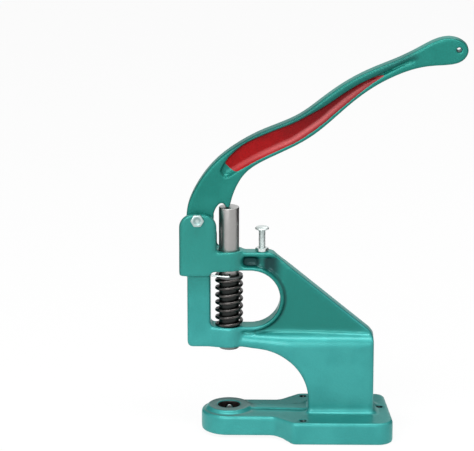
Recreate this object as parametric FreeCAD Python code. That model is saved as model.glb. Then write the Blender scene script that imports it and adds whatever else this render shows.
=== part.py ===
import FreeCAD
import Part
import math
import os

# Bench eyelet press: a cast C-frame, a hand lever on a pivot bolt, and a sprung ram that the
# lever's heel pushes down towards the lower die. All sizes are in millimetres.
#
# While the model is built, X runs from the ram towards the back of the base, Z is the height
# above the bench, and the ram and both dies share the Z axis. Each finished piece is then
# lowered, so that the origin is where that axis meets the rim of the lower die socket.

# ---------------------------------------------------------------- driving dimensions

# base plate
base_height = 20.0
base_width = 82.0
base_front_x = 56.0
base_back_x = 143.4
base_corner_radius = 13.0
far_flare_shift = 4.6
far_back_shift = -7.5
far_corner_radius = 9.0
base_edge_radius = 2.0
nose_radius = 24.0
neck_blend_radius = 8.0
neck_relief = 2.4
relief_ramp = 10.0

# lower die socket, in a round boss on the nose
die_boss_radius = 19.0
die_boss_height = 3.8
die_boss_edge = 1.4
lower_die_bore = 19.0
lower_die_depth = 15.0
die_screw_drop = 7.0

# stiffening rib along the top of the neck
rib_height = 2.4
rib_width_front = 10.0
rib_width_back = 17.0
rib_edge = 1.6

# bench screw holes
bench_hole = 5.5
front_holes_x = 64.5
front_holes_spacing = 66.0
rear_hole_x = 131.4
rear_hole_y = 5.3

# column and thick lower arm
column_front_x = 69.0
column_back_x = 125.5
column_thickness = 30.0
column_edge = 3.0
throat_edge = 2.0
foot_radius = 4.5
throat_radius = 46.0
throat_centre_height = 31.0
throat_headroom = 1.3
arm_thickness = 12.7
arm_start_x = 12.0
shoulder_radius = 11.4
arm_taper_front_x = 8.0
arm_taper_back_x = 50.0
arm_front_width = 19.0
arm_front_shoulder = 8.0

# thin upper frame: flange, sunk web and window
bar_top = 163.0
bar_end_x = 37.0
bar_end_radius = 6.0
back_corner_height = 90.3
back_corner_radius = 14.0
frame_thickness = 14.6
frame_edge = 1.5
bar_face_height = 3.8
bar_pocket_web = 5.0
bar_pocket_reach = 15.0
web_least = 9.0
slope_edge = 1.8
web_tilt = 4.2
pocket_start_x = 10.7
pocket_corner = 1.2
window_left_x = -15.9
window_bottom = 96.5
window_top = 147.0
window_right_x = 44.25
window_corner = 3.0
rim_width = 3.2
rim_thickness = 18.4

# front post and guide bosses
post_front_x = -36.0
post_thickness = 19.0
post_edge = 2.0
post_corner = 4.0
post_inner_edge = 2.3
guide_boss_radius = 13.0
guide_boss_rise = 1.5
guide_boss_edge = 1.2

# pivot ears
ear_front_reach = 15.9
ear_back_reach = 16.4
ear_bottom = 143.3
ear_top_rise = 4.4
ear_top_radius = 12.4
ear_block_width = 28.6
ear_edge = 4.4
far_ear_reach = 4.6
far_ear_drop = 21.4
far_ear_radius = 4.0
pivot_x = -26.9
pivot_height = 194.0

# depth stop screw and its tapped boss
stop_x = 28.4
stop_boss_radius = 5.6
stop_screw_depth = 10.7
stop_head_rise = 19.3
stop_head_radius = 6.1
stop_head_height = 2.7
stop_head_edge = 1.1
stop_driver_length = 6.0
stop_driver_width = 1.2
stop_driver_depth = 1.5

# lever
lever_thickness = 14.0
lever_edge = 2.0
lever_web = 5.0
hub_low_reach = 11.8
hub_front_reach = 9.6
hub_back_reach = 14.0
heel_x = -1.2
heel_radius = 2.2
notch_reach = 4.9
notch_rise = 1.8
notch_start_reach = 1.7
notch_start_rise = 8.0
ram_heel_gap = 0.3
hang_hole = 4.6
hang_hole_x = 194.3
hang_hole_height = 341.6

# ram
ram_diameter = 17.5
ram_top_rise = 8.3
ram_bottom = 75.5
ram_chamfer = 0.8
upper_die_bore = 8.0
upper_die_depth = 22.0
ram_screw_height = 9.0

# return spring and its top washer
spring_wire = 3.0
spring_outer = 24.4
spring_turns = 6.6
washer_radius = 11.8
washer_thickness = 1.6
washer_drop = 6.8

# split pin
pin_wire = 1.6
pin_leg_gap = 0.1
pin_long_x = -15.6
pin_short_x = -12.0
pin_bend_radius = 1.6
pin_bend_y = -12.4
pin_end_y = -10.7
pin_end_rise = 0.9
pin_neck_y = 9.6
pin_eye_length = 6.0
pin_eye_width = 5.6

# metric fasteners
m6 = 6.0
m6_flats = 10.0
m6_nut_height = 5.0
m6_thin_nut_height = 3.0
bolt_head_height = 4.0
bolt_head_dish_radius = 3.4
bolt_head_dish_depth = 0.8
bolt_length = 40.0
lock_washer_radius = 5.9
lock_washer_thickness = 1.6
lock_washer_split = 1.0
m5 = 5.0
m5_key_flats = 2.5
set_screw_chamfer = 0.5

# clearances
running_clearance = 0.05
thread_clearance = 0.04
seat_clearance = 0.02
pin_hole_clearance = 0.15
tip_clearance = 0.2
slot_clearance = 0.3

# ---------------------------------------------------------------- sizes that follow

die_seat_height = base_height + die_boss_height
column_half = column_thickness / 2
arm_bottom = throat_centre_height + throat_radius + throat_headroom
arm_top = arm_bottom + arm_thickness
washer_height = window_top - washer_drop
stop_screw_end = bar_top - stop_screw_depth
stop_head_bottom = bar_top + stop_head_rise
ear_front_x = pivot_x - ear_front_reach
ear_back_x = pivot_x + ear_back_reach
ear_top = pivot_height + ear_top_rise
hub_front_x = pivot_x - hub_front_reach
hub_back_x = pivot_x + hub_back_reach
hub_low_height = pivot_height - hub_low_reach
ram_top = pivot_height + ram_top_rise
frame_half = frame_thickness / 2
web_least_half = web_least / 2
bar_pocket_half = bar_pocket_web / 2
lever_half = lever_thickness / 2
ear_half = ear_block_width / 2
ram_radius = ram_diameter / 2
slot_half = lever_half + slot_clearance
pivot_bore_radius = m6 / 2 + running_clearance
tapped_m6_radius = m6 / 2 + thread_clearance
tapped_m5_radius = m5 / 2 + thread_clearance
die_screw_height = die_seat_height - die_screw_drop
pin_height = washer_height + washer_thickness + pin_wire / 2 + pin_leg_gap
pin_leg_offset = (pin_wire + pin_leg_gap) / 2
heel_height = ram_top + ram_heel_gap + heel_radius

# Points of the lever's outline and of its panel's rim are shares of the way from the pivot to the
# hanging hole: the first number is along X and the second is up Z.
lever_span = hang_hole_x - pivot_x
lever_rise = hang_hole_height - pivot_height

# The lever's back, end and belly, from the top of the hub round to the heel.
lever_outline = [
    (-0.0362, 0.0745), (-0.0041, 0.1863), (0.0457, 0.2947), (0.1013, 0.3767),
    (0.1655, 0.4444), (0.2428, 0.5075), (0.3201, 0.5556), (0.3969, 0.6118),
    (0.4733, 0.6965), (0.5497, 0.7812), (0.6646, 0.8767), (0.7785, 0.9492),
    (0.8544, 1.0081), (0.9263, 1.0596), (0.9941, 1.0596), (1.0362, 1.0000),
    (1.0194, 0.9417), (0.9670, 0.9119), (0.8915, 0.9031), (0.8192, 0.8801),
    (0.7586, 0.8449), (0.6731, 0.7751), (0.5805, 0.6680), (0.5014, 0.5603),
    (0.4426, 0.4892), (0.3612, 0.4173), (0.2618, 0.3442), (0.1894, 0.2710),
    (0.1546, 0.1965), (0.1352, 0.1247),
]

# The rim of the sunk panel in each side of the lever. Towards the grip it narrows to a groove.
panel_outline = [
    (0.0886, 0.2805), (0.1026, 0.3245), (0.1243, 0.3659), (0.1759, 0.4350),
    (0.2459, 0.4892), (0.3115, 0.5298), (0.3748, 0.5691), (0.4245, 0.6098),
    (0.4788, 0.6558), (0.5547, 0.7344), (0.6311, 0.8062), (0.6822, 0.8435),
    (0.7364, 0.8862), (0.7862, 0.9248), (0.8133, 0.9424), (0.8291, 0.9417),
    (0.8314, 0.9241), (0.8160, 0.9038), (0.7816, 0.8862), (0.7364, 0.8557),
    (0.6958, 0.8225),
    (0.6569, 0.7832), (0.5931, 0.7060), (0.5298, 0.6247), (0.4788, 0.5569),
    (0.3811, 0.4539), (0.3395, 0.4228), (0.2572, 0.3631), (0.2143, 0.3293),
    (0.1727, 0.2927), (0.1397, 0.2615), (0.1189, 0.2412), (0.1008, 0.2425),
]


# ---------------------------------------------------------------- helpers

def at(x, y, z):
    return FreeCAD.Vector(x, y, z)


def corner_arc(before, corner, after, radius):
    """Start, middle and end of the arc that rounds a corner."""
    back = (before - corner).normalize()
    ahead = (after - corner).normalize()
    half_angle = back.getAngle(ahead) / 2
    reach = radius / math.tan(half_angle)
    inwards = (back + ahead).normalize()
    middle = corner + inwards * (radius / math.sin(half_angle) - radius)
    return corner + back * reach, middle, corner + ahead * reach


def rounded_wire(corners, closed=True):
    """Straight runs through the corners, each a point and the radius that it is rounded to."""
    edges = []
    count = len(corners)
    first = None
    previous = None
    for index, (corner, radius) in enumerate(corners):
        is_end = not closed and index in (0, count - 1)
        if radius == 0 or is_end:
            start = end = corner
            arc = None
        else:
            before = corners[index - 1][0]
            after = corners[(index + 1) % count][0]
            start, middle, end = corner_arc(before, corner, after, radius)
            arc = Part.Arc(start, middle, end).toShape()
        if previous is not None and previous.distanceToPoint(start) > 1e-6:
            edges.append(Part.LineSegment(previous, start).toShape())
        if arc is not None:
            edges.append(arc)
        if first is None:
            first = start
        previous = end
    if closed and previous.distanceToPoint(first) > 1e-6:
        edges.append(Part.LineSegment(previous, first).toShape())
    return Part.Wire(edges)


def side_slab(corners, half):
    """A plate in the XZ plane, as thick each way from the middle plane as half."""
    wire = rounded_wire([(at(x, -half, z), radius) for x, z, radius in corners])
    return Part.Face(wire).extrude(at(0, 2 * half, 0))


def plan_slab(corners, bottom, top):
    """A plate in the XY plane between two heights."""
    wire = rounded_wire([(at(x, y, bottom), radius) for x, y, radius in corners])
    return Part.Face(wire).extrude(at(0, 0, top - bottom))


def block(x0, x1, y0, y1, z0, z1):
    return Part.makeBox(x1 - x0, y1 - y0, z1 - z0, at(x0, y0, z0))


def rod(radius, start, end):
    along = end - start
    return Part.makeCylinder(radius, along.Length, start, along)


def hex_prism(flats, centre, along):
    """A hexagonal bar on centre; two of its corners lie along X."""
    corner_radius = flats / math.sqrt(3)
    side_axis = along.cross(at(1, 0, 0)).normalize()
    points = []
    for step in range(7):
        angle = math.radians(60 * step)
        out = at(1, 0, 0) * math.cos(angle) + side_axis * math.sin(angle)
        points.append(centre + out * corner_radius)
    return Part.Face(Part.makePolygon(points)).extrude(along)


def hex_blank(flats, centre, along, both_ends):
    """A hexagon whose corners are turned off at 30 degrees on the outer face, or on both."""
    corner_radius = flats / math.sqrt(3)
    rise = (corner_radius - flats / 2 * 0.95) * math.tan(math.radians(30))
    height = along.Length
    unit = at(along.x, along.y, along.z).normalize()
    grown = corner_radius + (height - rise) / math.tan(math.radians(30))
    top_radius = corner_radius - rise / math.tan(math.radians(30))
    cone = Part.makeCone(grown, top_radius, height, centre, unit)
    blank = hex_prism(flats, centre, along).common(cone)
    if both_ends:
        far = centre + along
        blank = blank.common(Part.makeCone(grown, top_radius, height, far, unit * -1))
    return blank


def edges_where(shape, test):
    """The edges of which every vertex passes the test."""
    return [e for e in shape.Edges if all(test(v.Point) for v in e.Vertexes)]


def near(value, target):
    return abs(value - target) < 0.01


def save(node, shape):
    """Lower the piece to the die seat's frame and write it."""
    placed = shape.copy()
    placed.translate(at(0, 0, -die_seat_height))
    placed.exportStep("parts/" + node + ".step")
    volume = round(placed.Volume, 1)
    print(node, "solids", len(placed.Solids), "valid", placed.isValid(), "volume", volume)


# ---------------------------------------------------------------- frame casting

def base_plate():
    """The base in plan. Its far side is a little shorter than its near side at both ends."""
    half = base_width / 2
    neck_end_x = base_front_x - (half - nose_radius)
    outline = [
        (-nose_radius, -nose_radius, nose_radius),
        (neck_end_x, -nose_radius, neck_blend_radius),
        (base_front_x, -half, neck_blend_radius),
        (base_back_x, -half, base_corner_radius),
        (base_back_x + far_back_shift, half, far_corner_radius),
        (base_front_x + far_flare_shift, half, neck_blend_radius),
        (neck_end_x + far_flare_shift, nose_radius, neck_blend_radius),
        (-nose_radius, nose_radius, nose_radius),
    ]
    plate = plan_slab(outline, 0, base_height)
    rim = edges_where(plate, lambda p: near(p.z, base_height))
    plate = plate.makeFillet(base_edge_radius, rim)
    reach = half + base_edge_radius
    relief = side_slab([
        (-nose_radius - 1, -1, 0), (-nose_radius - 1, neck_relief, 0),
        (base_front_x - relief_ramp, neck_relief, 0), (base_front_x, 0, 0), (base_front_x, -1, 0),
    ], reach)
    return plate.cut(relief)


def back_outline(front_x, bottom):
    """The side of the frame above a height: level bar, slope and rounded back corner."""
    return [
        (front_x, bottom, 0), (front_x, bar_top, 0),
        (bar_end_x, bar_top, bar_end_radius),
        (column_back_x, back_corner_height, back_corner_radius),
        (column_back_x, bottom, 0),
    ]


def column_and_arm():
    """The thick column, the throat and the arm, rounded along its shoulders."""
    centre_x = column_front_x - throat_radius
    dx = arm_start_x - centre_x
    dz = arm_bottom - throat_centre_height
    touch = math.atan2(dz, dx) - math.acos(throat_radius / math.hypot(dx, dz))

    def on_throat(angle):
        x = centre_x + throat_radius * math.cos(angle)
        z = throat_centre_height + throat_radius * math.sin(angle)
        return at(x, -column_half, z)

    def corner(x, z):
        return at(x, -column_half, z)

    foot = base_height / 2
    throat = Part.Arc(on_throat(touch), on_throat(touch / 2), on_throat(0)).toShape()
    runs = [
        (corner(0, arm_top), corner(0, arm_bottom)),
        (corner(0, arm_bottom), corner(arm_start_x, arm_bottom)),
        (corner(arm_start_x, arm_bottom), on_throat(touch)),
        (on_throat(0), corner(column_front_x, foot)),
        (corner(column_front_x, foot), corner(column_back_x, foot)),
        (corner(column_back_x, foot), corner(column_back_x, arm_top)),
        (corner(column_back_x, arm_top), corner(0, arm_top)),
    ]
    edges = [Part.LineSegment(start, end).toShape() for start, end in runs]
    edges.insert(3, throat)
    body = Part.Face(Part.Wire(edges)).extrude(at(0, column_thickness, 0))

    def loaf_section(x, half, radius):
        return rounded_wire([
            (at(x, -half, 0), 0), (at(x, half, 0), 0),
            (at(x, half, arm_top), radius), (at(x, -half, arm_top), radius),
        ])

    front_half = arm_front_width / 2
    loaf = Part.makeLoft([
        loaf_section(-1, front_half, arm_front_shoulder),
        loaf_section(arm_taper_front_x, front_half, arm_front_shoulder),
        loaf_section(arm_taper_back_x, column_half, shoulder_radius),
        loaf_section(column_back_x + 1, column_half, shoulder_radius),
    ], True, True)
    body = body.common(loaf)

    def in_throat(point):
        return point.x <= column_front_x + 0.01 and point.z < arm_bottom + 0.01 and abs(point.y) > 1

    creases = edges_where(body, lambda p: near(p.x, arm_taper_back_x))
    lower = [e for e in edges_where(body, in_throat) if e.BoundBox.YLength < column_half]
    lower = [e for e in lower if not any(e.isSame(crease) for crease in creases)]
    body = body.makeFillet(throat_edge, lower)
    plan = plan_slab([
        (-1, -column_half, 0), (column_back_x, -column_half, column_edge),
        (column_back_x, column_half, column_edge), (-1, column_half, 0),
    ], 0, arm_top + 1)
    return body.common(plan).common(side_slab(back_outline(-1, 0), column_half + 1))


def neck_rib():
    end_x = column_front_x + column_edge
    front = rib_width_front / 2
    back = rib_width_back / 2
    top = base_height + rib_height
    corners = [(0, -front, 0), (end_x, -back, 0), (end_x, back, 0), (0, front, 0)]
    rib = plan_slab(corners, neck_relief + 1, top)
    long_edges = edges_where(rib, lambda p: near(p.z, top))
    long_edges = [e for e in long_edges if e.Length > rib_width_back + 1]
    return rib.makeFillet(rib_edge, long_edges)


def die_boss():
    boss = rod(die_boss_radius, at(0, 0, neck_relief), at(0, 0, die_seat_height))
    return boss.makeFillet(die_boss_edge, edges_where(boss, lambda p: near(p.z, die_seat_height)))


def upper_frame():
    """The plate behind the window, with pockets under its bar, a web that thins downwards and a rim."""
    floor = arm_bottom + 2
    plate = side_slab(back_outline(post_front_x + frame_thickness / 2, floor), frame_half)
    sides = edges_where(plate, lambda p: near(abs(p.y), frame_half))
    plate = plate.makeFillet(frame_edge, [e for e in sides if e.BoundBox.ZMax > floor + 1])

    slope = math.atan2(bar_top - back_corner_height, column_back_x - bar_end_x)
    along = at(math.cos(slope), 0, -math.sin(slope))
    inwards = at(-math.sin(slope), 0, -math.cos(slope))
    thinning = math.tan(math.radians(web_tilt))
    run = (frame_half - web_least_half) / thinning
    top_line = at(bar_end_x, 0, bar_top) - along * column_back_x
    web_points = [
        top_line - inwards, top_line + inwards * slope_edge, top_line + inwards * (slope_edge + run),
        top_line + inwards * (2 * column_back_x),
    ]
    halves = [frame_half + 1, frame_half, web_least_half, web_least_half]
    near_side = [point + at(0, -half, 0) for point, half in zip(web_points, halves)]
    far_side = [point + at(0, half, 0) for point, half in zip(web_points, halves)]
    ring = near_side + far_side[::-1] + near_side[:1]
    web = Part.Face(Part.makePolygon(ring)).extrude(along * (3 * column_back_x))

    inner_top = bar_top - bar_face_height
    pocket = block(pocket_start_x, column_back_x + 1, -frame_half - 1, frame_half + 1, floor, inner_top)
    under_bar = side_slab([
        (pocket_start_x, window_bottom, 0), (pocket_start_x, inner_top, pocket_corner),
        (bar_end_x + bar_pocket_reach, inner_top, 0), (bar_end_x + bar_pocket_reach, window_bottom, 0),
    ], frame_half + 1)
    middle = plan_slab([
        (pocket_start_x - 1, -bar_pocket_half, 0), (stop_x, -bar_pocket_half, 0),
        (bar_end_x + bar_pocket_reach, -frame_half, 0), (bar_end_x + bar_pocket_reach, frame_half, 0),
        (stop_x, bar_pocket_half, 0), (pocket_start_x - 1, bar_pocket_half, 0),
    ], floor, bar_top)
    plate = plate.cut(pocket.cut(web)).cut(under_bar.cut(middle))

    rim_left = pocket_start_x - 1
    rim_right = window_right_x + rim_width
    rim_low = window_bottom - rim_width
    rim_high = window_top + rim_width
    rim_radius = (rim_high - rim_low) / 2
    rim = side_slab([
        (rim_left, rim_low, 0), (rim_right, rim_low, rim_radius),
        (rim_right, rim_high, rim_radius), (rim_left, rim_high, 0),
    ], rim_thickness / 2)
    stop_boss = rod(stop_boss_radius, at(stop_x, 0, window_top), at(stop_x, 0, bar_top - frame_edge))
    return plate.fuse([rim, stop_boss])


def window():
    half = ear_half
    radius = (window_top - window_bottom) / 2
    return side_slab([
        (window_left_x, window_bottom, window_corner), (window_right_x, window_bottom, radius - 0.01),
        (window_right_x, window_top, radius - 0.01), (window_left_x, window_top, window_corner),
    ], half + 1)


def front_post():
    half = post_thickness / 2
    post = side_slab([
        (post_front_x, arm_bottom, post_corner), (0, arm_bottom, 0),
        (0, bar_top, 0), (post_front_x, bar_top, 0),
    ], half)
    outer = edges_where(post, lambda p: near(abs(p.y), half) and p.x < -0.01)
    low = edges_where(post, lambda p: near(abs(p.y), half) and near(p.z, arm_bottom))
    outer += [e for e in low if e.Length > post_thickness + 1]
    return post.makeFillet(post_edge, outer)


def post_inner_edges():
    """What is cut away to round the post's upright edges along the window."""
    half = post_thickness / 2
    radius = post_inner_edge
    low = window_bottom + window_corner
    left = window_left_x - radius
    cuts = []
    for side in (-1, 1):
        y0, y1 = sorted((side * (half + 1), side * (half - radius)))
        corner = block(left, window_left_x + 1, y0, y1, low, ear_bottom)
        axis = at(left, side * (half - radius), low)
        cuts.append(corner.cut(rod(radius, axis, at(axis.x, axis.y, ear_bottom))))
    return cuts


def guide_boss(from_x, from_half, bottom, top):
    """A round boss on the ram's axis, faired by its tangents from two points on the post."""
    boss = rod(guide_boss_radius, at(0, 0, bottom), at(0, 0, top))
    reach = math.hypot(from_x, from_half)
    bearing = math.atan2(from_half, from_x)
    touch = bearing - math.acos(guide_boss_radius / reach)
    touch_x = guide_boss_radius * math.cos(touch)
    touch_y = guide_boss_radius * math.sin(touch)
    fairing = plan_slab([
        (from_x, -from_half, 0), (touch_x, -touch_y, 0),
        (touch_x, touch_y, 0), (from_x, from_half, 0),
    ], bottom, top)
    boss = boss.fuse(fairing).removeSplitter()
    rim = edges_where(boss, lambda p: near(p.z, top))
    return boss.makeFillet(guide_boss_edge, [e for e in rim if e.BoundBox.XMax > from_x + 1])


def pivot_ears():
    """Two ears either side of the lever's slot. The far one narrows to a lug about the bolt."""
    near_top = [(ear_back_x, ear_top, ear_top_radius), (ear_front_x, ear_top, ear_top_radius)]
    far_shoulder = ear_top - far_ear_drop
    far_top = [
        (ear_back_x, far_shoulder, far_ear_radius), (pivot_x + far_ear_reach, ear_top, far_ear_radius),
        (pivot_x - far_ear_reach, ear_top, far_ear_radius), (ear_front_x, far_shoulder, far_ear_radius),
    ]
    plan = plan_slab([
        (ear_front_x, -ear_half, ear_edge), (ear_back_x, -ear_half, ear_edge),
        (ear_back_x, ear_half, ear_edge), (ear_front_x, ear_half, ear_edge),
    ], ear_bottom, ear_top)
    ears = []
    for side, top in ((-1, near_top), (1, far_top)):
        outline = [(ear_front_x, ear_bottom - 1, 0), (ear_back_x, ear_bottom - 1, 0)] + top
        y0, y1 = sorted((0, side * (ear_half + 1)))
        profile = side_slab(outline, ear_half + 1).common(
            block(ear_front_x - 1, ear_back_x + 1, y0, y1, ear_bottom - 1, ear_top + 1))
        ears.append(plan.common(profile))
    slot = block(ear_front_x - 1, ear_back_x + 1, -slot_half, slot_half, bar_top, ear_top + 1)
    return ears[0].fuse(ears[1]).removeSplitter().cut(slot)


def frame_casting():
    casting = base_plate().fuse(column_and_arm()).removeSplitter()

    def at_foot(point):
        along = column_front_x - 0.1 < point.x < column_back_x + 0.1
        return along and abs(point.y) < column_half + 0.1 and near(point.z, base_height)

    casting = casting.makeFillet(foot_radius, edges_where(casting, at_foot))
    solids = [
        neck_rib(),
        die_boss(),
        upper_frame(),
        front_post(),
        pivot_ears(),
        guide_boss(window_left_x, post_thickness / 2, arm_bottom, window_bottom + 0.01),
        guide_boss(ear_back_x - ear_edge, ear_half, window_top - 0.01, bar_top + guide_boss_rise),
    ]
    casting = casting.fuse(solids)

    def bench_bore(x, y):
        return rod(bench_hole / 2, at(x, y, -1), at(x, y, base_height + 1))

    far = ear_half + 1
    socket_floor = die_seat_height - lower_die_depth
    stop_bore_bottom = window_top - 2 * stop_boss_radius
    cuts = [
        window(),
        rod(ram_radius + running_clearance, at(0, 0, ram_bottom), at(0, 0, bar_top + ram_radius)),
        rod(lower_die_bore / 2, at(0, 0, socket_floor), at(0, 0, die_seat_height + 1)),
        rod(tapped_m5_radius, at(0, 0, die_screw_height), at(0, nose_radius + 1, die_screw_height)),
        rod(pivot_bore_radius, at(pivot_x, -far, pivot_height), at(pivot_x, far, pivot_height)),
        rod(tapped_m6_radius, at(stop_x, 0, stop_bore_bottom), at(stop_x, 0, bar_top + 1)),
        bench_bore(rear_hole_x, rear_hole_y),
        bench_bore(front_holes_x, -front_holes_spacing / 2),
        bench_bore(front_holes_x, front_holes_spacing / 2),
    ]
    cuts += post_inner_edges()
    return casting.cut(cuts).removeSplitter()


# ---------------------------------------------------------------- lever

def spline_wire(points, y, closing):
    """A smooth curve through the points, with the other edges that close it."""
    curve = Part.BSplineCurve()
    curve.interpolate(Points=[at(x, y, z) for x, z in points])
    return Part.Wire([curve.toShape()] + closing)


def hand_lever():
    half = lever_half
    hub_start = (hub_front_x, pivot_height + 1.0)
    hub_end = (hub_back_x, pivot_height - 1.0)
    notch_high = (heel_x - notch_reach, heel_height + notch_rise)
    nose_front = (heel_x - heel_radius, heel_height)
    nose_back = (heel_x + heel_radius, heel_height)

    def on_side(point):
        return at(point[0], -half, point[1])

    def from_pivot(share):
        return (pivot_x + share[0] * lever_span, pivot_height + share[1] * lever_rise)

    hub_low = ((hub_front_x + hub_back_x) / 2, hub_low_height)
    hub = Part.Arc(on_side(hub_start), on_side(hub_low), on_side(hub_end))
    notch_start = (hub_back_x + notch_start_reach, pivot_height + notch_start_rise)
    notch = Part.BSplineCurve()
    notch.interpolate(Points=[on_side(p) for p in (hub_end, notch_start, notch_high, nose_front)])
    nose = Part.Arc(on_side(nose_front), on_side((heel_x, heel_height - heel_radius)), on_side(nose_back))
    closing = [nose.toShape(), notch.toShape(), hub.toShape()]
    back_and_belly = [from_pivot(share) for share in lever_outline]
    outline = spline_wire([hub_start] + back_and_belly + [nose_back], -half, closing)
    body = Part.Face(outline).extrude(at(0, lever_thickness, 0))
    body = body.makeFillet(lever_edge, edges_where(body, lambda p: near(abs(p.y), half)))

    panel = Part.BSplineCurve()
    rim = [from_pivot(share) for share in panel_outline]
    panel.interpolate(Points=[at(x, lever_web / 2, z) for x, z in rim], PeriodicFlag=True)
    depth = half - lever_web / 2 + 1
    pocket = Part.Face(Part.Wire([panel.toShape()])).extrude(at(0, depth, 0))
    body = body.cut(pocket).cut(pocket.mirror(at(0, 0, 0), at(0, 1, 0)))

    def bored(radius, x, z):
        return rod(radius, at(x, -half - 1, z), at(x, half + 1, z))

    bore = bored(pivot_bore_radius, pivot_x, pivot_height)
    return body.cut(bore).cut(bored(hang_hole / 2, hang_hole_x, hang_hole_height))


def pivot_bolt():
    head_face = at(pivot_x, -ear_half - seat_clearance, pivot_height)
    head = hex_blank(m6_flats, head_face, at(0, -bolt_head_height, 0), False)
    dish_floor = head_face + at(0, bolt_head_dish_depth - bolt_head_height, 0)
    head = head.cut(rod(bolt_head_dish_radius, dish_floor, dish_floor + at(0, -bolt_head_height, 0)))
    end = head_face + at(0, bolt_length, 0)
    shank = rod(m6 / 2, head_face, end)
    shank = shank.makeChamfer(set_screw_chamfer, edges_where(shank, lambda p: near(p.y, end.y)))
    return head.fuse(shank).removeSplitter()


def pivot_lock_washer():
    seat = at(pivot_x, ear_half + seat_clearance, pivot_height)
    far = seat + at(0, lock_washer_thickness, 0)
    ring = rod(lock_washer_radius, seat, far).cut(rod(pivot_bore_radius, seat, far))
    split = block(
        pivot_x - lock_washer_split / 2, pivot_x + lock_washer_split / 2, seat.y - 1, far.y + 1,
        pivot_height, pivot_height + lock_washer_radius + 1,
    )
    return ring.cut(split)


def pivot_nut():
    seat = at(pivot_x, ear_half + lock_washer_thickness + 2 * seat_clearance, pivot_height)
    along = at(0, m6_nut_height, 0)
    nut = hex_blank(m6_flats, seat, along, True)
    return nut.cut(rod(tapped_m6_radius, seat - along, seat + along * 2))


# ---------------------------------------------------------------- ram, spring and pins

def ram():
    body = rod(ram_radius, at(0, 0, ram_bottom), at(0, 0, ram_top))
    rims = edges_where(body, lambda p: near(p.z, ram_top) or near(p.z, ram_bottom))
    body = body.makeChamfer(ram_chamfer, [e for e in rims if e.Closed and e.Length > ram_diameter])
    socket = rod(upper_die_bore / 2, at(0, 0, ram_bottom - 1), at(0, 0, ram_bottom + upper_die_depth))
    hole_radius = pin_wire + pin_leg_gap / 2 + pin_hole_clearance
    cross = rod(hole_radius, at(0, -ram_diameter, pin_height), at(0, ram_diameter, pin_height))
    screw_z = ram_bottom + ram_screw_height
    tapped = rod(tapped_m5_radius, at(0, -ram_diameter, screw_z), at(0, 0, screw_z))
    return body.cut(socket).cut(cross).cut(tapped)


def return_spring():
    """A right-hand coil, its ends ground flat on the boss and on the washer."""
    bottom = window_bottom + 0.03
    top = washer_height - 0.03
    mean = (spring_outer - spring_wire) / 2
    pitch = (top - bottom) / spring_turns
    overrun = spring_wire
    helix = Part.makeHelix(pitch, top - bottom + 2 * overrun, mean)
    profile = Part.Wire([Part.makeCircle(spring_wire / 2, at(mean, 0, 0), at(0, 1, 0))])
    coil = Part.Wire(helix.Edges).makePipeShell([profile], True, True)
    coil.translate(at(0, 0, bottom - overrun))
    size = spring_outer + 2
    slab = block(-size / 2, size / 2, -size / 2, size / 2, bottom, top)
    return coil.common(slab)


def spring_washer():
    low = at(0, 0, washer_height)
    high = at(0, 0, washer_height + washer_thickness)
    return rod(washer_radius, low, high).cut(rod(ram_radius + running_clearance, low, high))


def cotter_pin():
    """One wire: a long leg, the eye behind the ram, and back along a short leg."""
    offset = pin_leg_offset
    across = 2 * offset
    eye_half = pin_eye_width / 2
    eye_mid = pin_neck_y + pin_eye_length / 2
    eye_end = pin_neck_y + pin_eye_length
    z = pin_height
    long_bend = at(offset, pin_bend_y, z)
    long_end = at(pin_long_x, pin_end_y, z + pin_end_rise)
    lean = (long_end - long_bend) * (1 / (offset - pin_long_x))
    short_bend = at(-offset, pin_bend_y + across * (1 + lean.y), z)
    short_end = short_bend + lean * (-offset - pin_short_x)
    route = [
        (long_end, 0),
        (long_bend, pin_bend_radius + across),
        (at(offset, pin_neck_y, z), pin_wire),
        (at(eye_half, eye_mid, z), pin_wire),
        (at(0, eye_end + 1, z), pin_wire),
        (at(-eye_half, eye_mid, z), pin_wire),
        (at(-offset, pin_neck_y, z), pin_wire),
        (short_bend, pin_bend_radius),
        (short_end, 0),
    ]
    path = rounded_wire(route, closed=False)
    profile = Part.Wire([Part.makeCircle(pin_wire / 2, long_end, lean)])
    return path.makePipeShell([profile], True, False, 1)


# ---------------------------------------------------------------- adjusting and clamping screws

def set_screw(outer_end, inner_end):
    """A headless screw with a hexagon socket in its outer end."""
    along = inner_end - outer_end
    body = rod(m5 / 2, outer_end, inner_end)
    body = body.makeChamfer(set_screw_chamfer, [e for e in body.Edges if e.Closed and e.Length > m5])
    depth = min(along.Length * 0.5, m5_key_flats)
    unit = at(along.x, along.y, along.z).normalize()
    return body.cut(hex_prism(m5_key_flats, outer_end - unit, unit * (depth + 1)))


def upper_die_screw():
    z = ram_bottom + ram_screw_height
    outer = at(0, -ram_radius + tip_clearance + set_screw_chamfer, z)
    return set_screw(outer, at(0, -upper_die_bore / 2 - tip_clearance, z))


def lower_die_screw():
    outer = at(0, nose_radius - 1.0, die_screw_height)
    return set_screw(outer, at(0, lower_die_bore / 2 + tip_clearance, die_screw_height))


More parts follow.
